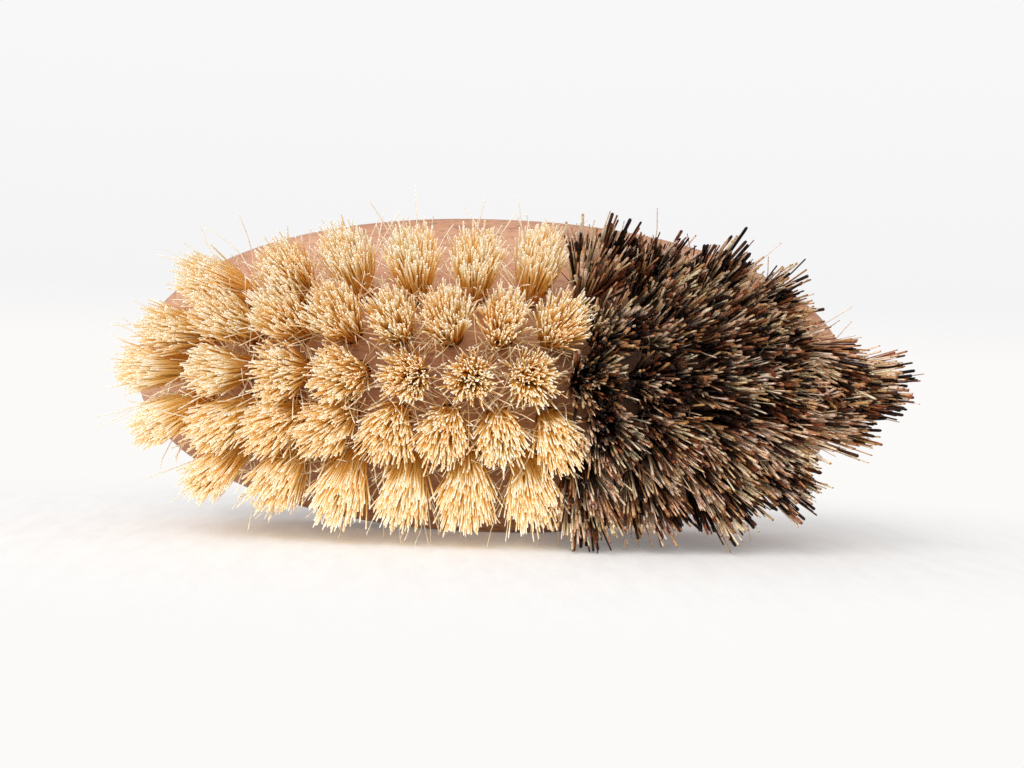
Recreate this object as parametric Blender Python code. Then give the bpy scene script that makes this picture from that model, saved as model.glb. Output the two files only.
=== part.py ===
"""Two-fibre vegetable brush: an oval beech block with tufts of light and dark plant fibre in its domed face.

Units are metres. The brush stands on one long side: X runs along its length with the light fibre
at -X, the bristles point towards -Y and Z is up. The origin is on the strip that it stands on.
In the block's own frame, Y counts from the crown of the bristle face into the wood.
"""

import math
import random

import bmesh
import bpy
from mathutils import Vector

MM = 0.001

# Beech block, whose outline would be an ellipse with a power of 2
BLOCK_LENGTH = 135.0 * MM
BLOCK_WIDTH = 59.0 * MM
OVAL_POWER = 2.15
END_THICKNESS = 13.0 * MM
FACE_LENGTH_RADIUS = 200.0 * MM
FACE_WIDTH_RADIUS = 47.0 * MM
FACE_EDGE_RADIUS = 3.0 * MM
BACK_EDGE_RADIUS = 4.0 * MM
BACK_DROP = 2.5 * MM
BACK_FLAT_LENGTH = 60.0 * MM

# Finger groove along each long side
GROOVE_LENGTH = 108.0 * MM
GROOVE_WIDTH = 7.0 * MM
GROOVE_DEPTH = 2.2 * MM

# Rows of tufts, from the top row to the bottom row
ROW_PITCH = 7.5 * MM
ROW_END_MARGIN = 11.6 * MM
OUTER_ROW_END_MARGIN = 13.6 * MM
ROW_DRAW_IN = 0.5
OUTER_ROW_TUFTS = 10
INNER_ROW_TUFTS = 13
MIDDLE_ROW_TUFTS = 12
FIRST_DARK_AT = 12.0 * MM

# Tufts and their holes
TUFT_RADIUS = 2.1 * MM
TUFT_CORE_RADIUS = 1.0 * MM
BRISTLE_LENGTH = 22.0 * MM
TIP_SPREAD = 3.6 * MM
STRAND_RADIUS = 1.1 * MM
HOLE_DEPTH = 9.0 * MM
FOLD_HEIGHT = 2.0 * MM
FOLD_THICKNESS = 1.5 * MM
TUFT_CLEARANCE = 0.3 * MM
TUFT_PROUD = 0.4 * MM
LENGTH_VARIATION = 0.7 * MM
SPREAD_VARIATION = 0.25 * MM

# Fineness of the meshes
OVAL_SIDES = 64
ARC_STEPS = 3
FACE_RINGS = (0.25, 0.5, 0.75)
GROOVE_RINGS = (-1.0, -0.5, 0.0, 0.5, 1.0)
TUFT_SIDES = 7
CORE_SIDES = 4
TUFT_SHAPES = 4

# A rounding or the groove takes at most this share of the wall that it is in
ROUNDING_SHARE = 0.4
GROOVE_SHARE = 0.55
DRILL_REACH = 4.0 * MM

ROW_NAMES = ("top", "upper", "middle", "lower", "bottom")


def sagitta(offset, radius):
    """How far an arc of this radius has fallen away at this offset from its crown."""
    return radius - math.sqrt(radius * radius - offset * offset)


def face_depth(x, z):
    """Y of the bristle face, which is domed both ways."""
    return sagitta(x, FACE_LENGTH_RADIUS) + sagitta(z, FACE_WIDTH_RADIUS)


def block_thickness():
    """Thickness at the crown, which leaves END_THICKNESS at the two ends."""
    return END_THICKNESS + sagitta(BLOCK_LENGTH / 2, FACE_LENGTH_RADIUS) + BACK_DROP


def back_depth(x, z):
    """Y of the back, flat in the middle and falling away towards the edge."""
    flat = BACK_FLAT_LENGTH / BLOCK_LENGTH
    share = math.hypot(2 * x / BLOCK_LENGTH, 2 * z / BLOCK_WIDTH)
    past_flat = max(0.0, (share - flat) / (1 - flat))
    return block_thickness() - BACK_DROP * past_flat**2


def signed_power(value, power):
    """A power of the value's size, with the value's sign."""
    return math.copysign(abs(value) ** power, value)


def oval_point(angle, inset=0.0):
    """A point (x, z) of the block's oval, moved in square to the oval by inset."""
    bend = 2 / OVAL_POWER
    flats = math.cos(math.pi / OVAL_SIDES) ** bend
    half_length = BLOCK_LENGTH / 2 / flats
    half_width = BLOCK_WIDTH / 2 / flats
    x = half_length * signed_power(math.cos(angle), bend)
    z = half_width * signed_power(math.sin(angle), bend)
    normal_x = half_width * signed_power(math.cos(angle), 2 - bend)
    normal_z = half_length * signed_power(math.sin(angle), 2 - bend)
    size = math.hypot(normal_x, normal_z)
    return x - inset * normal_x / size, z - inset * normal_z / size


def rounded_edge(angle, surface, radius, into_wood):
    """An edge rounding that runs on from a surface, as a list of (inset, y) down to the side wall.

    into_wood is 1 where Y grows from the surface into the wood, and -1 at the back.
    """
    edge = surface(*oval_point(angle))
    inner = surface(*oval_point(angle, radius))
    start = math.atan(max(0.0, into_wood * (edge - inner) / radius))
    start_inset = radius * (1 - math.sin(start))
    centre = surface(*oval_point(angle, start_inset)) + into_wood * radius * math.cos(start)
    points = []
    for step in range(ARC_STEPS + 1):
        turn = start + (math.pi / 2 - start) * step / ARC_STEPS
        points.append((radius * (1 - math.sin(turn)), centre - into_wood * radius * math.cos(turn)))
    return points


def side_section(angle):
    """The block's skin at one angle round its oval, as (inset, y) pairs from the face edge to the back edge."""
    outline = oval_point(angle)
    wall = back_depth(*outline) - face_depth(*outline)
    face_radius = min(FACE_EDGE_RADIUS, ROUNDING_SHARE * wall)
    back_radius = min(BACK_EDGE_RADIUS, ROUNDING_SHARE * wall)
    face_edge = rounded_edge(angle, face_depth, face_radius, 1)
    back_edge = rounded_edge(angle, back_depth, back_radius, -1)[::-1]
    front, rear = face_edge[-1][1], back_edge[0][1]
    half_groove = min(GROOVE_WIDTH, GROOVE_SHARE * (rear - front)) / 2
    along = max(0.0, 1 - (2 * outline[0] / GROOVE_LENGTH) ** 2)
    depth = GROOVE_DEPTH * along**2
    groove = [(depth * (1 - t * t), (front + rear) / 2 + t * half_groove) for t in GROOVE_RINGS]
    return face_edge, groove, back_edge


def stand_depth():
    """Y of the middle of the flat strip between the bristle face and the groove, which the brush stands on."""
    face_edge, groove, _ = side_section(-math.pi / 2)
    return (face_edge[-1][1] + groove[0][1]) / 2


def skin_column(angle):
    """Points of the block's skin from near the crown of the face to the rim of the back's flat."""
    face_edge, groove, back_edge = side_section(angle)
    edge_x, edge_z = oval_point(angle, face_edge[0][0])
    points = [(s * edge_x, face_depth(s * edge_x, s * edge_z), s * edge_z) for s in FACE_RINGS]
    for inset, y in face_edge + groove + back_edge:
        x, z = oval_point(angle, inset)
        points.append((x, y, z))
    back_x, back_z = oval_point(angle, back_edge[-1][0])
    flat = BACK_FLAT_LENGTH / BLOCK_LENGTH
    for share in ((1 + flat) / 2, flat):
        points.append((share * back_x, back_depth(share * back_x, share * back_z), share * back_z))
    return points


def block_mesh():
    """The undrilled block: columns of skin points joined round the oval."""
    mesh = bmesh.new()
    columns = []
    for side in range(OVAL_SIDES):
        angle = (side + 0.5) * 2 * math.pi / OVAL_SIDES
        columns.append([mesh.verts.new(point) for point in skin_column(angle)])
    crown = mesh.verts.new((0.0, 0.0, 0.0))
    for one, two in zip(columns, columns[1:] + columns[:1]):
        mesh.faces.new((crown, one[0], two[0]))
        for ring in range(len(one) - 1):
            mesh.faces.new((one[ring], one[ring + 1], two[ring + 1], two[ring]))
    mesh.faces.new([column[-1] for column in columns])
    bmesh.ops.recalc_face_normals(mesh, faces=mesh.faces)
    bmesh.ops.triangulate(mesh, faces=[face for face in mesh.faces if len(face.verts) == 4])
    return mesh


def polygon(radius, sides, z, squeeze=1.0):
    """Corners of a regular polygon at height z, narrowed across Y by squeeze."""
    turn = 2 * math.pi / sides
    corners = range(sides)
    return [(radius * math.cos(i * turn), squeeze * radius * math.sin(i * turn), z) for i in corners]


def bridge(mesh, lower, upper):
    """Side faces between two rings of as many corners."""
    for i, corner in enumerate(lower):
        following = (i + 1) % len(lower)
        mesh.faces.new((corner, lower[following], upper[following], upper[i]))


def strand_bases(rim, core):
    """Splits a tuft's end into cells: one in the core, and one for each side of the rim."""
    cells = [core]
    for i, corner in enumerate(rim):
        following = (i + 1) % len(rim)
        near = core[round(i * len(core) / len(rim)) % len(core)]
        far = core[round((i + 1) * len(core) / len(rim)) % len(core)]
        cell = [corner, rim[following], far]
        cells.append(cell if near is far else cell + [near])
    return cells


def grow_strand(mesh, cell, length, draw):
    """One straight strand from its cell at the root to a spread and slightly uneven tip."""
    middle = sum((vert.co for vert in cell), Vector()) / len(cell)
    outward = Vector((middle.x, middle.y, 0.0))
    lean = outward.normalized() * TIP_SPREAD if outward.length > STRAND_RADIUS / 2 else Vector()
    wander = Vector((draw.uniform(-1, 1), draw.uniform(-1, 1), 0.0)) * SPREAD_VARIATION
    tip = lean + wander + Vector((0.0, 0.0, length + draw.uniform(-1, 1) * LENGTH_VARIATION))
    ends = [mesh.verts.new(tip + (vert.co - middle).normalized() * STRAND_RADIUS) for vert in cell]
    bridge(mesh, cell, ends)
    mesh.faces.new(ends)


def tuft_mesh(seed):
    """A tuft along Z, from its folded end in the hole to its bristle tips. Z is 0 at the block's face."""
    draw = random.Random(seed)
    bottom = TUFT_CLEARANCE - HOLE_DEPTH
    fold = FOLD_THICKNESS / (2 * TUFT_RADIUS)
    mesh = bmesh.new()
    folded = [mesh.verts.new(c) for c in polygon(TUFT_RADIUS, TUFT_SIDES, bottom, fold)]
    full = [mesh.verts.new(c) for c in polygon(TUFT_RADIUS, TUFT_SIDES, bottom + FOLD_HEIGHT)]
    rim = [mesh.verts.new(c) for c in polygon(TUFT_RADIUS, TUFT_SIDES, TUFT_PROUD)]
    core = [mesh.verts.new(c) for c in polygon(TUFT_CORE_RADIUS, CORE_SIDES, TUFT_PROUD)]
    mesh.faces.new(folded)
    bridge(mesh, folded, full)
    bridge(mesh, full, rim)
    for cell in strand_bases(rim, core):
        grow_strand(mesh, cell, BRISTLE_LENGTH, draw)
    bmesh.ops.recalc_face_normals(mesh, faces=mesh.faces)
    return mesh


def drill_mesh(mesh, matrix):
    """Adds the cutter of one blind hole, a tuft's outline with its clearance all round, to a mesh."""
    radius = TUFT_RADIUS + TUFT_CLEARANCE / math.cos(math.pi / TUFT_SIDES)
    ends = []
    for z in (-HOLE_DEPTH, DRILL_REACH):
        corners = [matrix @ Vector(corner) for corner in polygon(radius, TUFT_SIDES, z)]
        ends.append([mesh.verts.new(corner) for corner in corners])
    bridge(mesh, *ends)
    for end in ends:
        mesh.faces.new(end)


def row_places(tufts, height, margin):
    """Places (x, z) of one row's tufts, evenly spaced along it, with this margin to the oval at both ends.

    Towards the block's ends a row draws in to the middle line, where it would lose ROW_DRAW_IN of its height.
    """
    across = abs(2 * height / BLOCK_WIDTH)
    reach = BLOCK_LENGTH / 2 * (1 - across**OVAL_POWER) ** (1 / OVAL_POWER) - margin
    end = math.asin(reach / FACE_LENGTH_RADIUS)
    places = []
    for number in range(tufts):
        x = FACE_LENGTH_RADIUS * math.sin(end * (2 * number / (tufts - 1) - 1))
        along = 2 * x / BLOCK_LENGTH
        places.append((x, height * (1 - ROW_DRAW_IN * along**4)))
    return places


def tuft_rows():
    """The five rows as a list of places each, top row first."""
    tufts = (OUTER_ROW_TUFTS, INNER_ROW_TUFTS, MIDDLE_ROW_TUFTS, INNER_ROW_TUFTS, OUTER_ROW_TUFTS)
    margins = (OUTER_ROW_END_MARGIN, ROW_END_MARGIN, ROW_END_MARGIN, ROW_END_MARGIN, OUTER_ROW_END_MARGIN)
    heights = [(len(tufts) // 2 - row) * ROW_PITCH for row in range(len(tufts))]
    return [row_places(*row) for row in zip(tufts, heights, margins)]


def outward_turn(x, z):
    """The turn that takes a tuft's Z axis to the outward normal of the bristle face at (x, z)."""
    slope_x = math.tan(math.asin(x / FACE_LENGTH_RADIUS))
    slope_z = math.tan(math.asin(z / FACE_WIDTH_RADIUS))
    return Vector((slope_x, -1.0, slope_z)).to_track_quat("Z", "Y")


def fibre_material(name, colour, roughness):
    """A plain Principled material in the piece's own colour."""
    material = bpy.data.materials.new(name)
    material.use_nodes = True
    shader = material.node_tree.nodes["Principled BSDF"]
    shader.inputs["Base Color"].default_value = (*colour, 1.0)
    shader.inputs["Roughness"].default_value = roughness
    shader.inputs["Metallic"].default_value = 0.0
    return material


def add_object(name, data, material=None):
    """Links a new object, with its material, into the scene."""
    placed = bpy.data.objects.new(name, data)
    if material:
        data.materials.clear()
        data.materials.append(material)
    bpy.context.scene.collection.objects.link(placed)
    return placed


def to_data(name, mesh):
    """Turns a finished bmesh into mesh data."""
    data = bpy.data.meshes.new(name)
    mesh.to_mesh(data)
    mesh.free()
    return data


def add_block():
    """The block on its long side, with the origin on the strip that it stands on."""
    beech = fibre_material("oiled_beech", (0.55, 0.34, 0.23), 0.55)
    block = add_object("beech_block", to_data("beech_block", block_mesh()), beech)
    block.location = (0.0, -stand_depth(), BLOCK_WIDTH / 2)
    return block


def add_tufts(block):
    """All tufts, parented to the block, and the cutters of their holes as one mesh."""
    light = fibre_material("light_fibre", (0.83, 0.62, 0.34), 0.6)
    dark = fibre_material("dark_fibre", (0.12, 0.07, 0.045), 0.6)
    shapes = {"light": [], "dark": []}
    for seed in range(TUFT_SHAPES):
        shapes["light"].append(to_data(f"light_tuft_shape_{seed}", tuft_mesh(seed)))
        shapes["dark"].append(to_data(f"dark_tuft_shape_{seed}", tuft_mesh(TUFT_SHAPES + seed)))
    drills = bmesh.new()
    for row_name, places in zip(ROW_NAMES, tuft_rows()):
        for number, (x, z) in enumerate(places):
            fibre = "dark" if x > FIRST_DARK_AT else "light"
            shape = shapes[fibre][number % TUFT_SHAPES]
            name = f"{fibre}_tuft_{row_name}_{number + 1:02d}"
            tuft = add_object(name, shape, dark if fibre == "dark" else light)
            tuft.parent = block
            tuft.location = (x, face_depth(x, z), z)
            tuft.rotation_mode = "QUATERNION"
            tuft.rotation_quaternion = outward_turn(x, z)
            drill_mesh(drills, tuft.matrix_basis)
    bmesh.ops.recalc_face_normals(drills, faces=drills.faces)
    return drills


def drill_block(block, drills):
    """Cuts the blind holes into the block."""
    cutter = add_object("hole_cutter", to_data("hole_cutter", drills))
    cutter.parent = block
    cutter.hide_render = True
    cutter.display_type = "WIRE"
    cut = block.modifiers.new("tuft_holes", "BOOLEAN")
    cut.operation = "DIFFERENCE"
    cut.solver = "EXACT"
    cut.object = cutter


def main():
    """Builds the brush in an emptied scene."""
    for leftover in list(bpy.data.objects):
        bpy.data.objects.remove(leftover)
    block = add_block()
    drill_block(block, add_tufts(block))
    print(f"block thickness {block_thickness() / MM:.2f} mm, stands {stand_depth() / MM:.2f} mm behind the crown")


main()
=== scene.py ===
"""Looks of a two-fibre vegetable brush: its beech block, its light and dark tufts, and a pale studio.

Units are metres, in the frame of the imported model: X runs along the brush with the light fibre at -X,
the bristles point towards -Y, and Z is up. The brush stands on one long side.
"""

import logging
import math
from collections.abc import Callable
from dataclasses import dataclass, field
from enum import Enum
from typing import ClassVar

import bmesh
import bpy
import numpy as np
from mathutils import Matrix, Vector


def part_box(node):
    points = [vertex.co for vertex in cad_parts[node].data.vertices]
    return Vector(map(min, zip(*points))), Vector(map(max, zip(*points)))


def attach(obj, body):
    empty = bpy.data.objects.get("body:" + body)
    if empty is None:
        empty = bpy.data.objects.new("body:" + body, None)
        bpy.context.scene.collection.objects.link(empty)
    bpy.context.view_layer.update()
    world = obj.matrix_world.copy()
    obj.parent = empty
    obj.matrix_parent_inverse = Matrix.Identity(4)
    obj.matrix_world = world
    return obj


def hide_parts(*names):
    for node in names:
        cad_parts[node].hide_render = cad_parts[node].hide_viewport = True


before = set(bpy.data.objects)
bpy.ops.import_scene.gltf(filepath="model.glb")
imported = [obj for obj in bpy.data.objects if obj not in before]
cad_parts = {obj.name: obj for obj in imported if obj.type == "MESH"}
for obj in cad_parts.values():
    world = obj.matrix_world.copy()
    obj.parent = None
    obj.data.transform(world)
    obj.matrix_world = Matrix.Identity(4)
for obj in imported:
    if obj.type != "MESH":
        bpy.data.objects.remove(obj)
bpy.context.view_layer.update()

log = logging.getLogger("vegetable_brush")

MM = 0.001
BODY = "root"
BLOCK_NODE = "beech_block"
GOLDEN_TURN = math.pi * (3 - math.sqrt(5))
# Digits behind the point that are kept of a measure in metres
METRE_DIGITS = 6
# The photograph's width, in pixels
PHOTO_WIDTH = 1024

Colour = tuple[float, float, float, float]
Stops = tuple[tuple[float, Colour], ...]
Scales = tuple[float, float, float]
Span = tuple[float, float]
Number = float | int

WHITE: Colour = (1.0, 1.0, 1.0, 1.0)


class Fibre(Enum):
    """The two kinds of plant fibre, by their material slots."""

    LIGHT = "light_fibre"
    DARK = "dark_fibre"


def srgb(red: int, green: int, blue: int) -> Colour:
    """A screen colour as the linear colour that shaders take.

    Args:
        red: Red, from 0 to 255.
        green: Green, from 0 to 255.
        blue: Blue, from 0 to 255.

    Returns:
        The linear colour, opaque.
    """
    linear = []
    for level in (red, green, blue):
        share = level / 255
        # The curve of the sRGB standard, with its own numbers
        linear.append(share / 12.92 if share <= 0.04045 else ((share + 0.055) / 1.055) ** 2.4)
    return (*linear, 1.0)


class Term:
    """A shader socket in an expression, where each operator adds its Math node."""

    def __init__(self, graph: "Graph", socket: bpy.types.NodeSocket) -> None:
        """Wraps a node's output socket.

        Args:
            graph: The graph that the socket's node is in.
            socket: The output socket.
        """
        self.graph = graph
        self.socket = socket

    def __add__(self, other: "Term | Number") -> "Term":
        """This plus other."""
        return self.graph.math("ADD", self, other)

    def __radd__(self, other: Number) -> "Term":
        """A number plus this."""
        return self.graph.math("ADD", other, self)

    def __sub__(self, other: "Term | Number") -> "Term":
        """This minus other."""
        return self.graph.math("SUBTRACT", self, other)

    def __rsub__(self, other: Number) -> "Term":
        """A number minus this."""
        return self.graph.math("SUBTRACT", other, self)

    def __mul__(self, other: "Term | Number") -> "Term":
        """This times other."""
        return self.graph.math("MULTIPLY", self, other)

    def __rmul__(self, other: Number) -> "Term":
        """A number times this."""
        return self.graph.math("MULTIPLY", other, self)

    def step(self, start: float, end: float) -> "Term":
        """A smooth step from 0 where this is start to 1 where it is end.

        Args:
            start: The value that gives 0.
            end: The value that gives 1.

        Returns:
            The step's value, from 0 to 1.
        """
        settings = {"interpolation_type": "SMOOTHSTEP"}
        return self.graph.add("ShaderNodeMapRange", settings, {"Value": self, "From Min": start, "From Max": end})


@dataclass(frozen=True)
class Pattern:
    """A noise pattern in a surface's colour and relief."""

    # How many features go to a metre, how many finer layers are added, and how strong those are
    scale: float
    detail: float
    roughness: float = 0.5
    # What each axis is scaled by before, where less than 1 draws the features out
    stretch: Scales = (1.0, 1.0, 1.0)


class Graph:
    """The nodes of one material or world."""

    def __init__(self, tree: bpy.types.NodeTree) -> None:
        """Empties a node tree, to build it up again.

        Args:
            tree: The node tree of a material or world.
        """
        self.tree = tree
        tree.nodes.clear()

    def add(self, kind: str, settings: dict | None = None, sockets: dict | None = None, output: int | str = 0) -> Term:
        """Adds a node.

        Args:
            kind: The node's type.
            settings: What is set on the node before its sockets. stops are a ramp's (place, colour) pairs.
            sockets: Values, or terms to link, by the sockets' names or numbers.
            output: The name or number of the output that is wanted.

        Returns:
            That output as a term.
        """
        node = self.tree.nodes.new(kind)
        for name, value in (settings or {}).items():
            if name == "stops":
                self._set_stops(node.color_ramp, value)
            else:
                setattr(node, name, value)
        for name, value in (sockets or {}).items():
            if isinstance(value, Term):
                self.tree.links.new(value.socket, node.inputs[name])
            else:
                node.inputs[name].default_value = value
        return Term(self, node.outputs[output] if len(node.outputs) else None)

    @staticmethod
    def _set_stops(ramp: bpy.types.ColorRamp, stops: Stops) -> None:
        """Gives a colour ramp its stops.

        Args:
            ramp: The ramp of a Color Ramp node.
            stops: The (place, colour) pairs, in order.
        """
        while len(ramp.elements) < len(stops):
            ramp.elements.new(1.0)
        for element, (place, colour) in zip(ramp.elements, stops):
            element.position = place
            element.color = colour

    def math(self, operation: str, *operands: Term | Number) -> Term:
        """A Math node's result for these operands."""
        return self.add("ShaderNodeMath", {"operation": operation}, dict(enumerate(operands)))

    def mix(self, share: Term | Number, one: Term | Colour, two: Term | Colour, blend: str = "MIX") -> Term:
        """Mixes two colours.

        Args:
            share: How much of the second colour shows, from 0 to 1.
            one: The first colour.
            two: The second colour.
            blend: The blend type.

        Returns:
            The mixed colour.
        """
        settings = {"data_type": "RGBA", "blend_type": blend}
        return self.add("ShaderNodeMix", settings, {0: share, 6: one, 7: two}, output=2)

    def tint(self, colour: Term, tint: Term | Colour, share: Term | Number = 1.0) -> Term:
        """A colour multiplied by a tint, as far as share says."""
        return self.mix(share, colour, tint, "MULTIPLY")

    def ramp(self, share: Term, stops: Stops) -> Term:
        """The colour of a ramp at share."""
        return self.add("ShaderNodeValToRGB", {"stops": stops}, {"Fac": share})

    def attribute(self, name: str) -> Term:
        """The value of a mesh attribute."""
        return self.add("ShaderNodeAttribute", {"attribute_name": name}, output="Fac")

    def place(self, stretch: Scales) -> Term:
        """The point on the object, with each axis scaled."""
        point = self.add("ShaderNodeTexCoord", output="Object")
        return self.add("ShaderNodeVectorMath", {"operation": "MULTIPLY"}, {0: point, 1: stretch})

    def noise(self, pattern: Pattern) -> Term:
        """A pattern's noise on the object.

        Args:
            pattern: The pattern.

        Returns:
            The noise, about 0.5 on average.
        """
        sockets = {
            "Vector": self.place(pattern.stretch),
            "Scale": pattern.scale,
            "Detail": pattern.detail,
            "Roughness": pattern.roughness,
        }
        return self.add("ShaderNodeTexNoise", {}, sockets)

    def bump(self, height: Term, strength: float, distance: float) -> Term:
        """A bumped normal.

        Args:
            height: The surface's height, from 0 to 1.
            strength: How much of the bump shows.
            distance: The height of 1, in metres.

        Returns:
            The normal for a shader.
        """
        return self.add("ShaderNodeBump", {}, {"Height": height, "Strength": strength, "Distance": distance})

    def principled(self, sockets: dict) -> Term:
        """A Principled shader with these sockets."""
        return self.add("ShaderNodeBsdfPrincipled", {}, sockets)

    def finish(self, sockets: dict) -> None:
        """Adds the Principled shader with these sockets, as the surface."""
        self.surface(self.principled(sockets))

    def surface(self, shader: Term) -> None:
        """Makes a shader the material's surface."""
        self.add("ShaderNodeOutputMaterial", {}, {"Surface": shader})


def new_material(name: str) -> tuple[bpy.types.Material, Graph]:
    """Makes a material.

    Args:
        name: The material's name.

    Returns:
        The material and its emptied graph.
    """
    material = bpy.data.materials.new(name)
    material.use_nodes = True
    return material, Graph(material.node_tree)


@dataclass(frozen=True)
class BeechFinish:
    """Fine-sanded beech: pinkish brown, with growth lines along the block and short dark flecks."""

    # The growth's tones, from the deepest to the palest, and the colours of the lines and flecks
    tones: Stops = ((0.32, srgb(160, 108, 80)), (0.5, srgb(181, 132, 102)), (0.68, srgb(199, 154, 124)))
    line: Colour = srgb(132, 84, 66)
    fleck: Colour = srgb(118, 72, 54)
    # The grain's patterns, all drawn out along X
    growth: Pattern = Pattern(90.0, 3.0, stretch=(0.08, 1.0, 1.0))
    lines: Pattern = Pattern(1100.0, 4.0, 0.6, stretch=(0.04, 1.0, 1.0))
    pores: Pattern = Pattern(3400.0, 2.0, stretch=(0.13, 1.0, 1.0))
    flecks: Pattern = Pattern(2700.0, 1.0, stretch=(0.24, 1.0, 1.0))
    # The noise over which a mark sets in, how strongly it colours the wood, and how deep it lies in the relief
    line_onset: Span = (0.5, 0.66)
    line_share: float = 0.3
    line_hollow: float = 0.25
    fleck_onset: Span = (0.6, 0.68)
    fleck_share: float = 0.5
    fleck_hollow: float = 0.4
    pore_onset: Span = (0.5, 0.7)
    pore_share: float = 0.38
    pore_hollow: float = 0.5
    relief: float = 0.06 * MM
    relief_strength: float = 0.35
    # The wood's roughness, what the lines add to it, and what a pale growth takes off
    roughness: float = 0.52
    line_roughness: float = 0.12
    growth_polish: float = 0.06

    def material(self) -> bpy.types.Material:
        """Makes the wood.

        Returns:
            The material, with its grain running along X.
        """
        material, graph = new_material("beech")
        growth = graph.noise(self.growth)
        lines = graph.noise(self.lines)
        pores = graph.noise(self.pores)
        flecks = graph.noise(self.flecks)
        wood = graph.ramp(growth, self.tones)
        line_mask = lines.step(*self.line_onset)
        wood = graph.mix(line_mask * self.line_share, wood, self.line)
        fleck_mask = flecks.step(*self.fleck_onset)
        wood = graph.mix(fleck_mask * self.fleck_share, wood, self.fleck)
        wood = graph.mix(pores.step(*self.pore_onset) * self.pore_share, wood, self.fleck)
        height = 1 - fleck_mask * self.fleck_hollow - line_mask * self.line_hollow - pores * self.pore_hollow
        graph.finish({
            "Base Color": wood,
            "Roughness": self.roughness + line_mask * self.line_roughness - growth * self.growth_polish,
            "Normal": graph.bump(height, self.relief_strength, self.relief),
        })
        return material


@dataclass(frozen=True)
class LightFibreFinish:
    """Bleached plant fibre: cream towards the cut tips, and golden towards the wood, partly as painted shade of the
    depths.
    """

    # The colour from the wood to the cut tip, whose golden root end is partly painted shade of the tuft's depths, and
    # the tint by a fibre's shade
    lengthways: Stops = (
        (0.0, srgb(241, 176, 84)), (0.3, srgb(252, 205, 109)),
        (0.72, srgb(255, 229, 167)), (0.99, srgb(255, 250, 241)),
    )
    tints: Stops = ((0.0, srgb(255, 236, 206)), (0.6, srgb(255, 253, 248)))
    # How far the mottle moves a colour along its fibre
    mottle: Pattern = Pattern(800.0, 2.0)
    mottle_reach: float = 0.16
    # The shades that mark a stray, and how far its colour moves towards the tip's
    stray_onset: Span = (1.02, 1.18)
    stray_paling: float = 0.6
    # What a fibre lets through of a lamp's light
    let_through: Colour = (0.985, 0.915, 0.72, 1.0)
    shine: float = 0.25
    roughness: float = 0.5
    grain: Pattern = Pattern(5200.0, 1.0)
    grain_roughness: float = 0.2
    relief: float = 0.02 * MM
    relief_strength: float = 0.3

    def material(self) -> bpy.types.Material:
        """Makes the light fibre.

        Returns:
            The material, which reads how far along its fibre a point is.
        """
        material, graph = new_material("light_fibre")
        along = graph.attribute("along")
        fibre = graph.attribute("fibre")
        mottle = graph.noise(self.mottle)
        stray = fibre.step(*self.stray_onset) * self.stray_paling
        place = along + mottle * self.mottle_reach - self.mottle_reach / 2 + stray
        # Painted shade: the ramp's golden root end stands in for the light that the fibres pass on in the tuft's
        # depths
        colour = graph.tint(graph.ramp(place, self.lengthways), graph.ramp(fibre, self.tints))
        grain = graph.noise(self.grain)
        fibre_shader = graph.principled({
            "Base Color": colour,
            "Roughness": self.roughness + grain * self.grain_roughness - self.grain_roughness / 2,
            "Specular IOR Level": self.shine,
            "Normal": graph.bump(grain, self.relief_strength, self.relief),
        })
        lamp_rays = graph.add("ShaderNodeLightPath", output="Is Shadow Ray")
        through = graph.add("ShaderNodeBsdfTransparent", {}, {"Color": self.let_through})
        graph.surface(graph.add("ShaderNodeMixShader", {}, {0: lamp_rays, 1: fibre_shader, 2: through}))
        return material


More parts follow.
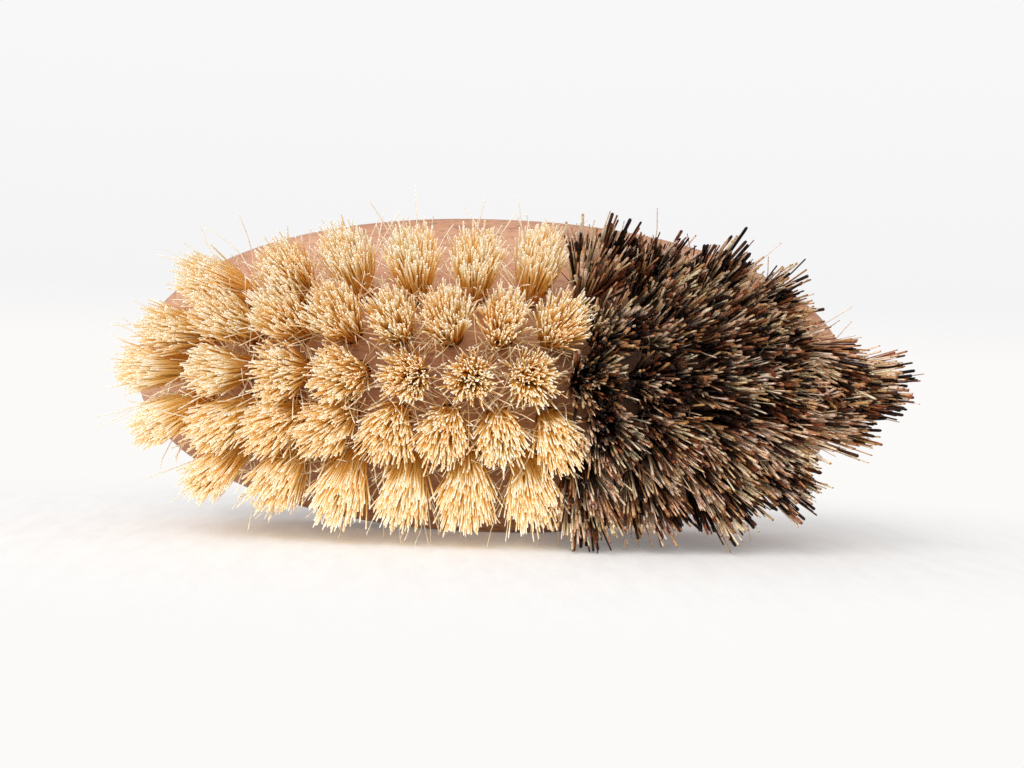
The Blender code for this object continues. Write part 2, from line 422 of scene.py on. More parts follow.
@dataclass(frozen=True)
class DarkFibreFinish:
    """Mixed stiff fibre: near-black, brown, red-brown, tan and pale strands, with painted shade in the depths and at
    the cut.
    """

    # The colour by a strand's shade, and how far the mottle moves it
    strands: Stops = (
        (0.1, srgb(26, 16, 13)), (0.22, srgb(78, 45, 32)), (0.36, srgb(158, 94, 64)),
        (0.48, srgb(222, 176, 124)), (0.64, srgb(248, 216, 186)), (0.86, srgb(255, 242, 228)),
    )
    mottle: Pattern = Pattern(700.0, 2.0)
    mottle_reach: float = 0.2
    # The two tints that the strands lie between, and how much of that goes by the strand and by the patch.
    # Strands whose shades differ by one part in strand_parts have the same tint.
    straw: Colour = srgb(250, 253, 222)
    rosy: Colour = srgb(255, 236, 238)
    strand_parts: float = 23.0
    strand_share: float = 0.5
    patches: Pattern = Pattern(160.0, 1.0)
    patch_onset: Span = (0.35, 0.65)
    patch_share: float = 0.5
    # The painted shade in the depths of the tuft: its tint, how strong it is, and the part of a strand over which it
    # fades
    depth: Colour = srgb(108, 70, 50)
    depth_shade_share: float = 0.8
    depth_shade_fade: Span = (0.15, 0.8)
    # The painted shade on the cut end: its tint and where it sets in; and the rough rim below it
    cut_end_shade: Colour = srgb(168, 140, 118)
    cut_shade_onset: Span = (0.985, 1.0)
    rim_onset: Span = (0.97, 0.99)
    rim_roughness: float = 0.4
    shine: float = 0.3
    roughness: float = 0.36
    grain: Pattern = Pattern(4200.0, 1.0)
    grain_roughness: float = 0.2
    relief: float = 0.03 * MM
    relief_strength: float = 0.35

    def material(self) -> bpy.types.Material:
        """Makes the dark fibre.

        Returns:
            The material, which takes a strand's colour from its own shade.
        """
        material, graph = new_material("dark_fibre")
        along = graph.attribute("along")
        fibre = graph.attribute("fibre")
        mottle = graph.noise(self.mottle)
        colour = graph.ramp(fibre + mottle * self.mottle_reach - self.mottle_reach / 2, self.strands)
        patch = graph.noise(self.patches).step(*self.patch_onset)
        hue = graph.math("FRACT", fibre * self.strand_parts) * self.strand_share + patch * self.patch_share
        colour = graph.tint(colour, graph.mix(hue, self.straw, self.rosy))
        # Painted shade: the strands are darkened towards the wood, in the depths of the tuft
        colour = graph.tint(colour, self.depth, (1 - along.step(*self.depth_shade_fade)) * self.depth_shade_share)
        # Painted shade: the cut ends are darkened
        colour = graph.tint(colour, self.cut_end_shade, along.step(*self.cut_shade_onset))
        grain = graph.noise(self.grain)
        roughness = self.roughness + grain * self.grain_roughness - self.grain_roughness / 2
        graph.finish({
            "Base Color": colour,
            "Roughness": roughness + along.step(*self.rim_onset) * self.rim_roughness,
            "Specular IOR Level": self.shine,
            "Normal": graph.bump(grain, self.relief_strength, self.relief),
        })
        return material


def add_object(name: str, data: bpy.types.ID, material: bpy.types.Material | None = None) -> bpy.types.Object:
    """Links a new object into the scene.

    Args:
        name: The object's name.
        data: Its mesh, light or camera.
        material: The material of all its faces, if it has any.

    Returns:
        The new object.
    """
    placed = bpy.data.objects.new(name, data)
    if material:
        data.materials.append(material)
    bpy.context.scene.collection.objects.link(placed)
    return placed


def dress(piece: bpy.types.Object, node: str) -> None:
    """Hands a piece to the frame: it rides on the brush and stands for a CAD node.

    Args:
        piece: The visible piece.
        node: The CAD node that it stands for.
    """
    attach(piece, BODY)
    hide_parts(node)


@dataclass(frozen=True)
class TuftPlace:
    """Where a tuft leaves the wood, and which way it points."""

    node: str
    fibre: Fibre
    root: Vector
    axis: Vector

    # The folded end of a tuft's solid: its corners, and its distance below the wood's face
    FOLD_CORNERS: ClassVar[int] = 7
    FOLD_DEPTH: ClassVar[float] = 8.7 * MM
    # Corners that are farther than this from the fold are the strands' tips
    TIP_REACH: ClassVar[float] = 20.0 * MM

    @classmethod
    def of(cls, name: str, node: bpy.types.Object) -> "TuftPlace":
        """Reads a tuft's place from its CAD node.

        Args:
            name: The node's name, which starts with its fibre.
            node: The node's object.

        Returns:
            The place.
        """
        corners = np.unique(np.round([vertex.co for vertex in node.data.vertices], METRE_DIGITS), axis=0)
        fold = corners[np.argsort(-corners[:, 1])[: cls.FOLD_CORNERS]].mean(axis=0)
        tips = corners[np.linalg.norm(corners - fold, axis=1) > cls.TIP_REACH].mean(axis=0)
        axis = Vector(tips - fold).normalized()
        fibre = Fibre.LIGHT if name.startswith("light") else Fibre.DARK
        return cls(name, fibre, Vector(fold) + axis * cls.FOLD_DEPTH, axis)

    def frame(self) -> Matrix:
        """The tuft's own frame.

        Returns:
            The matrix that takes Z to the tuft's axis, X along the brush and the origin to the root.
        """
        along = (Vector((1.0, 0.0, 0.0)) - self.axis * self.axis.x).normalized()
        across = self.axis.cross(along)
        turned = Matrix((along, across, self.axis)).transposed().to_4x4()
        return Matrix.Translation(self.root) @ turned


@dataclass(frozen=True)
class BristleStyle:
    """How one kind of fibre is cut, packed and spread in its tufts. A spread is a share of the size it follows."""

    # A tuft's fibres
    count: int
    thickness: float
    thickness_spread: float
    length: float
    length_spread: float
    # How wide the tips fan out, how far each scatters, how much a fibre bends, and the clumps that tips gather in
    fan_radius: float
    scatter: float
    bend: float
    clumps: int
    # How many fibres stray, and how far
    strays: int
    stray_reach: float
    # How much the shades in a clump differ, what all get on top, and what they lose with each metre along X
    shade_spread: float
    shade_lift: float = 0.0
    shade_fall: float = 0.0
    # The share of stout strands, their thickness, and what is left of their shade
    stout_share: float = 0.0
    stout_thickness: float = 0.64 * MM
    stout_shade: float = 0.22
    # How far a tip is drawn to its clump's centre, and how far the centres scatter, as a share of the fan
    clump_pull: float = 0.3
    clump_scatter: float = 0.12
    # The tuft in its hole: its radius, how far the fibres scatter there, as a share of that, and its depth
    root_radius: float = 2.0 * MM
    root_scatter: float = 0.04
    in_hole: float = 4.0 * MM
    # A fibre's tube: its thickness at the tip and then at the cut, as shares, its sides, and where its rings are
    tip_taper: float = 0.95
    tip_round: float = 0.6
    sides: int = 5
    steps: tuple[float, ...] = (0.0, 0.25, 0.5, 0.75, 0.985, 1.0)
    # The strays, whose lengths are shares of a fibre's
    stray_bend: float = 3.6 * MM
    stray_thickness: float = 0.2 * MM
    stray_shortest: float = 0.5
    stray_longest: float = 1.04
    farthest_stray: float = 8.5 * MM
    # The freedom of the scatter, where less throws more tips far out, and how many scatters a tip goes at most
    scatter_freedom: int = 3
    farthest_scatter: float = 3.5
    # A tip stands at least this share of its length above the wood
    least_height: float = 0.4
    # How far a fan is from round, how much narrower it is at the light end, and how much a tuft's lean varies
    fan_variety: float = 0.1
    end_narrowing: float = 0.0
    lean_variety: float = 0.45 * MM


STYLES = {
    Fibre.LIGHT: BristleStyle(
        count=320, thickness=0.27 * MM, thickness_spread=0.16, length=22.0 * MM, length_spread=0.038,
        fan_radius=4.75 * MM, scatter=0.55 * MM, bend=0.8 * MM, clumps=18, strays=34, stray_reach=6.0 * MM,
        shade_spread=0.3, end_narrowing=0.26,
    ),
    Fibre.DARK: BristleStyle(
        count=235, thickness=0.32 * MM, thickness_spread=0.32, length=22.8 * MM, length_spread=0.07,
        fan_radius=6.0 * MM, scatter=0.8 * MM, bend=1.1 * MM, clumps=14, strays=12, stray_reach=5.0 * MM,
        shade_spread=0.21, shade_lift=0.12, shade_fall=0.003 / MM, stout_share=0.08, clump_pull=0.4, tip_round=0.85,
    ),
}

# How many millimetres a tuft's tips lie from where its hole points, along and up the brush
LEANS = {
    "light_tuft_top_01": (-1.6, -3.6),
    "light_tuft_top_02": (0.2, -2.2),
    "light_tuft_upper_01": (0.6, -1.0),
    "light_tuft_middle_01": (-2.4, -0.8),
    "light_tuft_lower_01": (-1.4, -1.6),
    "light_tuft_bottom_02": (0.8, -0.2),
    "light_tuft_bottom_03": (0.4, -0.6),
    "light_tuft_bottom_04": (0.2, -1.0),
    "dark_tuft_top_07": (0.0, 0.6),
    "dark_tuft_top_08": (-1.8, -1.4),
    "dark_tuft_top_09": (-2.8, -2.2),
    "dark_tuft_top_10": (-2.8, -4.2),
    "dark_tuft_upper_09": (-1.0, -0.8),
    "dark_tuft_upper_12": (0.0, -0.6),
    "dark_tuft_upper_13": (0.0, -6.4),
    "dark_tuft_middle_08": (-1.4, 0.4),
    "dark_tuft_middle_12": (6.2, 0.2),
    "dark_tuft_lower_09": (-1.0, 0.6),
    "dark_tuft_lower_12": (0.8, 0.0),
    "dark_tuft_lower_13": (2.0, 3.4),
    "dark_tuft_bottom_07": (-0.8, -0.6),
    "dark_tuft_bottom_08": (-0.2, -0.4),
    "dark_tuft_bottom_09": (1.0, 0.2),
    "dark_tuft_bottom_10": (0.6, 2.8),
}


def sunflower(count: int, radius: float) -> np.ndarray:
    """Evenly packed points in a disc.

    Args:
        count: How many points.
        radius: The disc's radius.

    Returns:
        The points, as count rows of two.
    """
    index = np.arange(count) + 0.5
    reach = radius * np.sqrt(index / count)
    turn = index * GOLDEN_TURN
    return np.stack([reach * np.cos(turn), reach * np.sin(turn)], axis=1)


def unit(vectors: np.ndarray) -> np.ndarray:
    """Vectors along the last axis, each made one long."""
    return vectors / np.linalg.norm(vectors, axis=-1, keepdims=True)


@dataclass
class Tuft:
    """One tuft: some hundred fibres, packed in their hole and fanned out to their cut tips."""

    place: TuftPlace
    style: BristleStyle
    seed: int
    draw: np.random.Generator = field(init=False)

    # How far above the floor the fibres' centre lines stay
    FLOOR_GAP: ClassVar[float] = 0.25 * MM
    # The shade of a stray. Other fibres have 0 to 1, and the light finish is paler above 1.
    STRAY_SHADE: ClassVar[float] = 1.2
    # Where along the brush the fans start to narrow towards the light end, and over what length
    NARROW_FROM: ClassVar[float] = -38.0 * MM
    NARROW_OVER: ClassVar[float] = 16.0 * MM
    # The mark "along" where a fibre ends in its hole. It is 0 at the wood's face and 1 at the tip.
    ALONG_IN_HOLE: ClassVar[float] = -0.2
    # The bake map's free margins: beside a fibre, as a share of its strip, and at its two ends
    STRIP_MARGIN: ClassVar[float] = 0.15
    END_MARGIN: ClassVar[float] = 0.01
    SHARP_ANGLE: ClassVar[float] = math.radians(75)

    def __post_init__(self) -> None:
        """Seeds this tuft's own random draws."""
        self.draw = np.random.default_rng(self.seed)

    @property
    def fan_radius(self) -> float:
        """How wide the tips spread, which is less towards the light end."""
        end = (self.NARROW_FROM - self.place.root.x) / self.NARROW_OVER
        return self.style.fan_radius * (1 - self.style.end_narrowing * min(max(end, 0.0), 1.0))

    def _tips(self, roots: np.ndarray, strays: np.ndarray) -> tuple[np.ndarray, np.ndarray]:
        """Where the fibres' tips lie across the tuft, and how light each fibre is.

        Args:
            roots: The fibres' places in the hole, across the tuft.
            strays: Which fibres stray from the tuft.

        Returns:
            The tips' places across the tuft, as rows of two, and the fibres' shades, from 0 for dark to 1 for
            light, which are much alike in a clump.
        """
        style = self.style
        oval = 1 + self.draw.normal(0.0, style.fan_variety, 2)
        tips = roots * (self.fan_radius / style.root_radius) * oval
        centres = sunflower(style.clumps, self.fan_radius)
        centres += self.draw.normal(0.0, style.clump_scatter * self.fan_radius, centres.shape)
        nearest = np.linalg.norm(tips[:, None] - centres[None], axis=2).argmin(axis=1)
        tips += style.clump_pull * (centres[nearest] - tips)
        scatter = self.draw.standard_t(style.scatter_freedom, tips.shape)
        tips += style.scatter * scatter.clip(-style.farthest_scatter, style.farthest_scatter)
        astray = self.draw.normal(0.0, style.stray_reach, tips.shape)
        tips += strays[:, None] * astray.clip(-style.farthest_stray, style.farthest_stray)
        lean = self.draw.normal(0.0, style.lean_variety, 2) + np.array(LEANS.get(self.place.node, (0.0, 0.0))) * MM
        shade = self.draw.random(style.clumps)[nearest] + self.draw.normal(0.0, style.shade_spread, style.count)
        shade += style.shade_lift - style.shade_fall * self.place.root.x
        return tips + lean, np.clip(shade, 0.0, 1.0)

    def paths(self) -> tuple[np.ndarray, np.ndarray, np.ndarray]:
        """The fibres' centre lines, thicknesses and shades.

        Returns:
            The centre lines in the brush's frame, as (fibre, step, 3), each fibre's radius, and its shade.
        """
        style = self.style
        roots = sunflower(style.count, style.root_radius)
        roots += self.draw.normal(0.0, style.root_scatter * style.root_radius, roots.shape)
        strays = np.zeros(style.count, dtype=bool)
        strays[self.draw.choice(style.count, style.strays, replace=False)] = True
        tips, shade = self._tips(roots, strays)
        length = style.length * (1 + self.draw.normal(0.0, style.length_spread, style.count))
        stray_length = style.length * self.draw.uniform(style.stray_shortest, style.stray_longest, style.count)
        length = np.where(strays, stray_length, length)
        sideways = np.linalg.norm(tips - roots, axis=1)
        height = np.sqrt(np.maximum(length**2 - sideways**2, (style.least_height * length) ** 2))
        bend = self.draw.normal(0.0, 1.0, roots.shape) * np.where(strays, style.stray_bend, style.bend)[:, None]
        steps = np.array(style.steps)[None, :, None]
        across = roots[:, None] + (tips - roots)[:, None] * steps + bend[:, None] * steps * (1 - steps)
        up = height[:, None] * steps[:, :, 0]
        local = np.concatenate([across, up[:, :, None]], axis=2)
        sunk = np.concatenate([roots, np.full((style.count, 1), -style.in_hole)], axis=1)
        local = np.concatenate([sunk[:, None], local], axis=1)
        thickness = style.thickness * np.exp(self.draw.normal(0.0, style.thickness_spread, style.count))
        stout = self.draw.random(style.count) < style.stout_share
        thickness = np.where(stout, style.stout_thickness, thickness)
        thickness = np.where(strays, style.stray_thickness, thickness)
        shade = np.where(stout, shade * style.stout_shade, shade)
        shade = np.where(strays, self.STRAY_SHADE, shade)
        return self._placed(local), thickness / 2, shade

    def _placed(self, local: np.ndarray) -> np.ndarray:
        """Takes points from the tuft's own frame to the brush's, and keeps them above the floor.

        Args:
            local: The points in the tuft's own frame.

        Returns:
            The points in the brush's frame.
        """
        matrix = np.array(self.place.frame())
        placed = local @ matrix[:3, :3].T + matrix[:3, 3]
        placed[..., 2] = np.maximum(placed[..., 2], self.FLOOR_GAP)
        return placed

    def mesh(self) -> bpy.types.Mesh:
        """Builds the fibres, each as a closed tube that carries its shade and has its own strip of the bake map.

        Returns:
            The mesh of the whole tuft.
        """
        paths, radius, shade = self.paths()
        fibres, rings, _ = paths.shape
        sides = self.style.sides
        tangent = unit(np.gradient(paths, axis=1))
        first = unit(np.cross(tangent, unit(self.draw.normal(0.0, 1.0, (fibres, 1, 3)))))
        second = np.cross(tangent, first)
        turn = np.arange(sides) * 2 * math.pi / sides
        taper = np.linspace(1.0, self.style.tip_taper, rings)
        taper[-1] *= self.style.tip_round
        reach = (radius[:, None] * taper[None])[:, :, None, None]
        circle = first[:, :, None] * np.cos(turn)[:, None] + second[:, :, None] * np.sin(turn)[:, None]
        points = (paths[:, :, None] + reach * circle).reshape(-1, 3)
        data = bpy.data.meshes.new(self.piece_name)
        data.from_pydata(points.tolist(), [], tube_faces(fibres, rings, sides))
        along = np.array((self.ALONG_IN_HOLE, *self.style.steps))
        self._mark(data, "along", np.tile(np.repeat(along, sides), fibres))
        self._mark(data, "fibre", np.repeat(shade, rings * sides))
        half_strip = 0.5 - self.STRIP_MARGIN
        strip = (np.arange(fibres)[:, None, None] + self.STRIP_MARGIN + half_strip * (1 - np.cos(turn))) / fibres
        height = np.linspace(self.END_MARGIN, 1 - self.END_MARGIN, rings)[None, :, None]
        places = np.stack(np.broadcast_arrays(strip, height), axis=3).reshape(-1, 2)
        self._unwrap(data, places)
        data.shade_smooth()
        data.set_sharp_from_angle(angle=self.SHARP_ANGLE)
        return data

    @staticmethod
    def _unwrap(data: bpy.types.Mesh, places: np.ndarray) -> None:
        """Gives the mesh its bake map.

        Args:
            data: The mesh.
            places: A place in the map for each vertex, as rows of two.
        """
        corners = np.empty(len(data.loops), dtype=np.int32)
        data.loops.foreach_get("vertex_index", corners)
        layer = data.uv_layers.new(name="OFBake")
        layer.uv.foreach_set("vector", places[corners].astype(np.float32).ravel())

    @staticmethod
    def _mark(data: bpy.types.Mesh, name: str, values: np.ndarray) -> None:
        """Stores one number for each vertex as a mesh attribute."""
        marks = data.attributes.new(name, "FLOAT", "POINT")
        marks.data.foreach_set("value", values.astype(np.float32))

    @property
    def piece_name(self) -> str:
        """The visible piece's name, which follows its CAD node's."""
        return self.place.node.replace("tuft", "fibres")

    def build(self, material: bpy.types.Material) -> bpy.types.Object:
        """Builds the tuft's piece in place of its CAD node.

        Args:
            material: The fibre's material.

        Returns:
            The piece.
        """
        piece = add_object(self.piece_name, self.mesh(), material)
        dress(piece, self.place.node)
        return piece


def tube_faces(tubes: int, rings: int, sides: int) -> list[list[int]]:
    """The faces of closed tubes whose vertices run side by side, ring by ring and tube by tube.

    Args:
        tubes: How many tubes.
        rings: The rings of a tube.
        sides: The corners of a ring.

    Returns:
        The faces, as lists of vertex numbers.
    """
    corner = np.arange(sides)
    following = (corner + 1) % sides
    ring = np.arange(rings - 1)[:, None] * sides
    quads = np.stack([ring + corner, ring + following, ring + sides + following, ring + sides + corner], axis=2)
    walls = quads.reshape(-1, 4)
    top = (rings - 1) * sides + corner
    bottom = corner[::-1]
    faces = []
    for tube in range(tubes):
        start = tube * rings * sides
        faces += (walls + start).tolist()
        faces.append((top + start).tolist())
        faces.append((bottom + start).tolist())
    return faces


def signed_power(value: float, power: float) -> float:
    """A power of the value's size, with the value's sign."""
    return math.copysign(abs(value) ** power, value)


@dataclass
class BeechBlock:
    """The oval block: domed bristle face, finger groove round the sides, flat-crowned back, drilled holes."""

    # The lowest and highest corners of the CAD node
    low: Vector
    high: Vector
    # The face's dome along and across the block, and the rounding of both rims
    face_length_radius: float = 200.0 * MM
    face_width_radius: float = 47.0 * MM
    face_edge_radius: float = 3.0 * MM
    back_edge_radius: float = 4.0 * MM
    # How far the back drops from its flat to the rim, and the outline's power, where 2 is an ellipse
    back_drop: float = 2.5 * MM
    back_flat_length: float = 60.0 * MM
    oval_power: float = 2.15
    # The finger groove, and the power that shapes its section
    groove_length: float = 108.0 * MM
    groove_width: float = 7.0 * MM
    groove_depth: float = 2.2 * MM
    groove_power: float = 1.2
    # The most that a rounding takes of the side wall, and the groove of what the roundings leave
    rounding_share: float = 0.4
    groove_share: float = 0.55
    # The holes, and how far the drill starts above the face
    hole_radius: float = 2.4 * MM
    hole_depth: float = 9.0 * MM
    drill_reach: float = 4.0 * MM
    # How finely the skin is divided
    sides: int = 192
    face_rings: int = 12
    back_rings: int = 5
    arc_steps: int = 8
    groove_steps: int = 12
    hole_sides: int = 20
    sharp_angle: float = math.radians(35)

    @property
    def length(self) -> float:
        """Length along X."""
        return self.high.x - self.low.x

    @property
    def width(self) -> float:
        """Width along Z, as the brush stands."""
        return self.high.z - self.low.z

    @property
    def thickness(self) -> float:
        """Thickness at the crown, along Y."""
        return self.high.y - self.low.y

    @property
    def flat_share(self) -> float:
        """How much of the oval the back's flat takes, as a share of its length."""
        return self.back_flat_length / self.length

    def face_depth(self, x: float, z: float) -> float:
        """How far the domed face lies behind its crown.

        Args:
            x: The place along the block, from its middle.
            z: The place across it.

        Returns:
            The depth.
        """
        along = self.face_length_radius - math.sqrt(self.face_length_radius**2 - x * x)
        across = self.face_width_radius - math.sqrt(self.face_width_radius**2 - z * z)
        return along + across

    def back_depth(self, x: float, z: float) -> float:
        """How far the back lies behind the crown of the face.

        Args:
            x: The place along the block, from its middle.
            z: The place across it.

        Returns:
            The depth.
        """
        share = math.hypot(2 * x / self.length, 2 * z / self.width)
        return self.thickness - self.back_drop * max(0.0, (share - self.flat_share) / (1 - self.flat_share)) ** 2

    def oval_point(self, angle: float, inset: float = 0.0) -> tuple[float, float]:
        """A point (x, z) of the oval.

        Args:
            angle: The place round the oval.
            inset: How far the point is moved in, square to the oval.

        Returns:
            The point.
        """
        bend = 2 / self.oval_power
        flats = math.cos(math.pi / self.sides) ** bend
        half_length = self.length / 2 / flats
        half_width = self.width / 2 / flats
        normal_x = half_width * signed_power(math.cos(angle), 2 - bend)
        normal_z = half_length * signed_power(math.sin(angle), 2 - bend)
        size = math.hypot(normal_x, normal_z)
        x = half_length * signed_power(math.cos(angle), bend) - inset * normal_x / size
        z = half_width * signed_power(math.sin(angle), bend) - inset * normal_z / size
        return x, z

    def _edge(
        self, angle: float, depth: Callable[[float, float], float], radius: float, inward: int
    ) -> list[tuple[float, float]]:
        """An edge rounding that runs on from a surface.

        Args:
            angle: The place round the oval.
            depth: The surface's function of (x, z).
            radius: The rounding's radius.
            inward: 1 where depth grows into the wood, -1 at the back.

        Returns:
            Its (inset, depth) pairs, from the surface to the side wall.
        """
        rise = inward * (depth(*self.oval_point(angle)) - depth(*self.oval_point(angle, radius)))
        start = math.atan(max(0.0, rise / radius))
        rim = depth(*self.oval_point(angle, radius * (1 - math.sin(start))))
        centre = rim + inward * radius * math.cos(start)
        turns = [start + (math.pi / 2 - start) * step / self.arc_steps for step in range(self.arc_steps + 1)]
        return [(radius * (1 - math.sin(turn)), centre - inward * radius * math.cos(turn)) for turn in turns]

    def _column(self, angle: float) -> list[tuple[float, float, float]]:
        """The skin's points at one place round the oval.

        Args:
            angle: The place round the oval.

        Returns:
            The points (x, y, z) from the face's crown, which is left out, to the flat of the back.
        """
        outline = self.oval_point(angle)
        wall = self.back_depth(*outline) - self.face_depth(*outline)
        face_edge = self._edge(angle, self.face_depth, min(self.face_edge_radius, self.rounding_share * wall), 1)
        back_edge = self._edge(angle, self.back_depth, min(self.back_edge_radius, self.rounding_share * wall), -1)
        front, rear = face_edge[-1][1], back_edge[-1][1]
        half_groove = min(self.groove_width, self.groove_share * (rear - front)) / 2
        depth = self.groove_depth * max(0.0, 1 - (2 * outline[0] / self.groove_length) ** 2) ** 2
        across = np.linspace(-1.0, 1.0, self.groove_steps + 1)
        groove = [(depth * (1 - t * t) ** self.groove_power, (front + rear) / 2 + t * half_groove) for t in across]
        edge_x, edge_z = self.oval_point(angle, face_edge[0][0])
        points = []
        for ring in range(1, self.face_rings):
            x, z = edge_x * ring / self.face_rings, edge_z * ring / self.face_rings
            points.append((x, self.face_depth(x, z), z))
        for inset, y in face_edge + groove + back_edge[::-1]:
            x, z = self.oval_point(angle, inset)
            points.append((x, y, z))
        back_x, back_z = self.oval_point(angle, back_edge[0][0])
        for share in np.linspace(1.0, self.flat_share, self.back_rings + 1)[1:]:
            x, z = back_x * share, back_z * share
            points.append((x, self.back_depth(x, z), z))
        return points

    def _solid(self) -> bpy.types.Mesh:
        """Joins columns of points round the oval.

        Returns:
            The mesh of the undrilled block.
        """
        mesh = bmesh.new()
        middle = Vector((0.0, self.low.y, (self.low.z + self.high.z) / 2))
        columns = []
        for side in range(self.sides):
            angle = (side + 0.5) * 2 * math.pi / self.sides
            columns.append([mesh.verts.new(middle + Vector(point)) for point in self._column(angle)])
        crown = mesh.verts.new(middle)
        for one, two in zip(columns, columns[1:] + columns[:1]):
            mesh.faces.new((crown, one[0], two[0]))
            for ring in range(len(one) - 1):
                mesh.faces.new((one[ring], one[ring + 1], two[ring + 1], two[ring]))
        mesh.faces.new([column[-1] for column in columns])
        bmesh.ops.recalc_face_normals(mesh, faces=mesh.faces)
        return to_data(BLOCK_NODE, mesh)

    def _drills(self, places: list[TuftPlace]) -> bpy.types.Object:
        """Builds the cutter of all the holes.

        Args:
            places: The tufts' places.

        Returns:
            The cutter, with a rod for each hole.
        """
        mesh = bmesh.new()
        for place in places:
            middle = Matrix.Translation((0.0, 0.0, (self.drill_reach - self.hole_depth) / 2))
            bmesh.ops.create_cone(
                mesh, cap_ends=True, segments=self.hole_sides, radius1=self.hole_radius, radius2=self.hole_radius,
                depth=self.drill_reach + self.hole_depth, matrix=place.frame() @ middle,
            )
        return add_object("hole_cutter", to_data("hole_cutter", mesh))

    def build(self, places: list[TuftPlace], material: bpy.types.Material) -> bpy.types.Object:
        """Builds the drilled block in place of its CAD node.

        Args:
            places: The tufts' places, each of which gets its hole.
            material: The wood.

        Returns:
            The piece.
        """
        piece = add_object("beech_wood", self._solid())
        cutter = self._drills(places)
        cut = piece.modifiers.new("tuft_holes", "BOOLEAN")
        cut.operation = "DIFFERENCE"
        cut.solver = "EXACT"
        cut.object = cutter
        drilled = bpy.data.meshes.new_from_object(piece.evaluated_get(bpy.context.evaluated_depsgraph_get()))
        piece.modifiers.clear()
        piece.data = drilled
        bpy.data.objects.remove(cutter)
        drilled.materials.clear()
        drilled.materials.append(material)
        drilled.shade_smooth()
        drilled.set_sharp_from_angle(angle=self.sharp_angle)
        dress(piece, BLOCK_NODE)
        return piece


def to_data(name: str, mesh: bmesh.types.BMesh) -> bpy.types.Mesh:
    """Turns a finished bmesh into mesh data.

    Args:
        name: The data's name.
        mesh: The bmesh, which is freed.

    Returns:
        The mesh data.
    """
    data = bpy.data.meshes.new(name)
    mesh.to_mesh(data)
    mesh.free()
    return data


@dataclass(frozen=True)
class Lamp:
    """A soft square white lamp, aimed at the crown of the brush."""

    name: str
    place: tuple[float, float, float]
    size: float
    watts: float


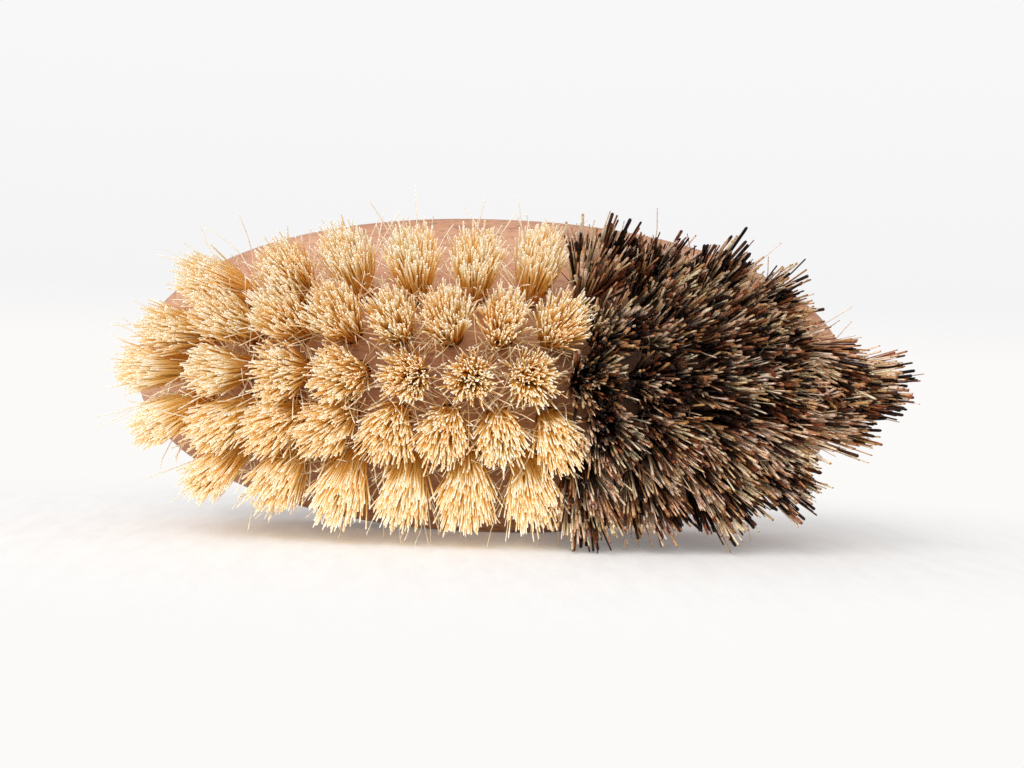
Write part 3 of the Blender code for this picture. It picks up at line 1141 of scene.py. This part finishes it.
@dataclass
class Studio:
    """The pale floor, the light and the camera of the photograph."""

    # The middle of the block's domed face
    crown: Vector
    # The camera: its place as seen from the crown, its turns, and its focal length in the photograph's pixels
    camera_distance: float = 283.0 * MM
    camera_right: float = -12.6 * MM
    camera_rise: float = 4.8 * MM
    turn_right: float = math.radians(3.0)
    tilt_down: float = math.radians(1.2)
    roll: float = math.radians(1.9)
    focal_pixels: float = 1564.0
    # The floor: a disc of pale cloth, with painted shade in its hollows
    floor_radius: float = 3.0
    floor_sides: int = 96
    floor_colour: Colour = srgb(254, 254, 254)
    floor_hollow_shade: Colour = srgb(248, 247, 247)
    floor_roughness: float = 0.9
    floor_shine: float = 0.1
    cloth: Pattern = Pattern(260.0, 3.0, 0.6, stretch=(1.0, 0.22, 1.0))
    cloth_onset: Span = (0.35, 0.65)
    cloth_relief: float = 0.6 * MM
    cloth_strength: float = 0.35
    # The floor's fade to the horizon: the scales of its oval, its start and end in metres from the middle, and
    # the horizon's share before its start, a painted glow that lightens the brush's shadow
    fade_oval: Scales = (1.1, 1.6, 1.0)
    fade_reach: Span = (0.04, 0.2)
    shadow_lifting_glow: float = 0.16
    # The background: its three colours, and the heights of the upper two as a ray's upward share
    horizon: Colour = srgb(252, 250, 248)
    backdrop: Colour = srgb(244, 244, 245)
    above: Colour = srgb(249, 248, 249)
    backdrop_height: float = 0.035
    above_height: float = 0.19
    sky_strength: float = 0.52
    lamps: tuple[Lamp, ...] = (
        Lamp("key", (-0.65, -0.75, 0.85), 0.7, 6.0),
        Lamp("front", (-0.15, -1.02, 0.5), 0.75, 8.3),
    )

    def place_camera(self) -> None:
        """Sets the camera before the bristle face, a little to the left, and rolled as the photograph is."""
        camera = bpy.data.cameras.new("photo_camera")
        camera.sensor_fit = "HORIZONTAL"
        camera.lens = camera.sensor_width * self.focal_pixels / PHOTO_WIDTH
        placed = add_object("photo_camera", camera)
        placed.location = self.crown + Vector((self.camera_right, -self.camera_distance, self.camera_rise))
        pan = Matrix.Rotation(-self.turn_right, 3, "Z")
        tilt = Matrix.Rotation(math.pi / 2 - self.tilt_down, 3, "X")
        roll = Matrix.Rotation(self.roll, 3, "Z")
        placed.rotation_euler = (pan @ tilt @ roll).to_euler()
        bpy.context.scene.camera = placed

    def light(self) -> None:
        """Adds the lamps and the world, which lights evenly and shows pale behind the brush."""
        for lamp in self.lamps:
            data = bpy.data.lights.new(lamp.name, "AREA")
            data.size = lamp.size
            data.energy = lamp.watts
            placed = add_object(lamp.name, data)
            placed.location = lamp.place
            aim = self.crown - placed.location
            placed.rotation_euler = aim.to_track_quat("-Z", "Y").to_euler()
        world = bpy.data.worlds.new("studio")
        world.use_nodes = True
        graph = Graph(world.node_tree)
        direction = graph.add("ShaderNodeTexCoord", output="Generated")
        height = graph.add("ShaderNodeSeparateXYZ", {}, {0: direction}, output="Z")
        heights = ((0.0, self.horizon), (self.backdrop_height, self.backdrop), (self.above_height, self.above))
        shown = graph.ramp(height, heights)
        seen = graph.add("ShaderNodeBackground", {}, {"Color": shown, "Strength": 1.0})
        lit = graph.add("ShaderNodeBackground", {}, {"Color": WHITE, "Strength": self.sky_strength})
        both = graph.add("ShaderNodeMixShader", {}, {0: self._seen_rays(graph), 1: lit, 2: seen})
        graph.add("ShaderNodeOutputWorld", {}, {"Surface": both})
        bpy.context.scene.world = world

    @staticmethod
    def _seen_rays(graph: Graph) -> Term:
        """Tells the rays that show the background from those that light with it.

        Args:
            graph: The graph of the world or the floor.

        Returns:
            1 for rays from the camera and for those that gloss or glass sends on, and else 0.
        """
        camera = graph.add("ShaderNodeLightPath", output="Is Camera Ray")
        glossy = graph.add("ShaderNodeLightPath", output="Is Glossy Ray")
        through = graph.add("ShaderNodeLightPath", output="Is Transmission Ray")
        return graph.math("MINIMUM", camera + glossy + through, 1.0)

    def lay_floor(self) -> None:
        """Lays the floor, which keeps the brush's shadow, lightened by a painted glow, and fades to the background
        further out.
        """
        mesh = bmesh.new()
        bmesh.ops.create_circle(mesh, cap_ends=True, segments=self.floor_sides, radius=self.floor_radius)
        material, graph = new_material("pale_floor")
        oval = graph.place(self.fade_oval)
        reach = graph.add("ShaderNodeVectorMath", {"operation": "LENGTH"}, {0: oval}, output="Value")
        cloth = graph.noise(self.cloth)
        shader = graph.principled({
            # Painted shade in the cloth's hollows
            "Base Color": graph.mix(cloth.step(*self.cloth_onset), self.floor_hollow_shade, self.floor_colour),
            "Roughness": self.floor_roughness,
            "Specular IOR Level": self.floor_shine,
            "Normal": graph.bump(cloth, self.cloth_strength, self.cloth_relief),
        })
        far = graph.add("ShaderNodeEmission", {}, {"Color": self.horizon, "Strength": 1.0})
        # Painted light: part of the horizon's glow shows right up to the brush and lightens its shadow
        fade = reach.step(*self.fade_reach) * (1 - self.shadow_lifting_glow) + self.shadow_lifting_glow
        share = fade * self._seen_rays(graph)
        graph.surface(graph.add("ShaderNodeMixShader", {}, {0: share, 1: shader, 2: far}))
        floor = add_object("pale_floor", to_data("pale_floor", mesh), material)

    def build(self) -> None:
        """Builds the floor, the light and the camera."""
        self.place_camera()
        self.light()
        self.lay_floor()
        bpy.context.scene.view_settings.view_transform = "Standard"


def main() -> None:
    """Builds the studio, the block and every tuft, and reports each."""
    logging.basicConfig(level=logging.INFO, format="%(name)s: %(message)s")
    low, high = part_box(BLOCK_NODE)
    Studio(crown=Vector((0.0, low.y, (low.z + high.z) / 2))).build()
    log.info("studio built")
    names = sorted(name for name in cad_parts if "_tuft_" in name)
    places = [TuftPlace.of(name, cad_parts[name]) for name in names]
    block = BeechBlock(low, high).build(places, BeechFinish().material())
    log.info("%s has %d faces", block.name, len(block.data.polygons))
    materials = {Fibre.LIGHT: LightFibreFinish().material(), Fibre.DARK: DarkFibreFinish().material()}
    for seed, place in enumerate(places):
        piece = Tuft(place, STYLES[place.fibre], seed).build(materials[place.fibre])
        log.info("%s has %d faces", piece.name, len(piece.data.polygons))


if __name__ == "__main__":
    main()
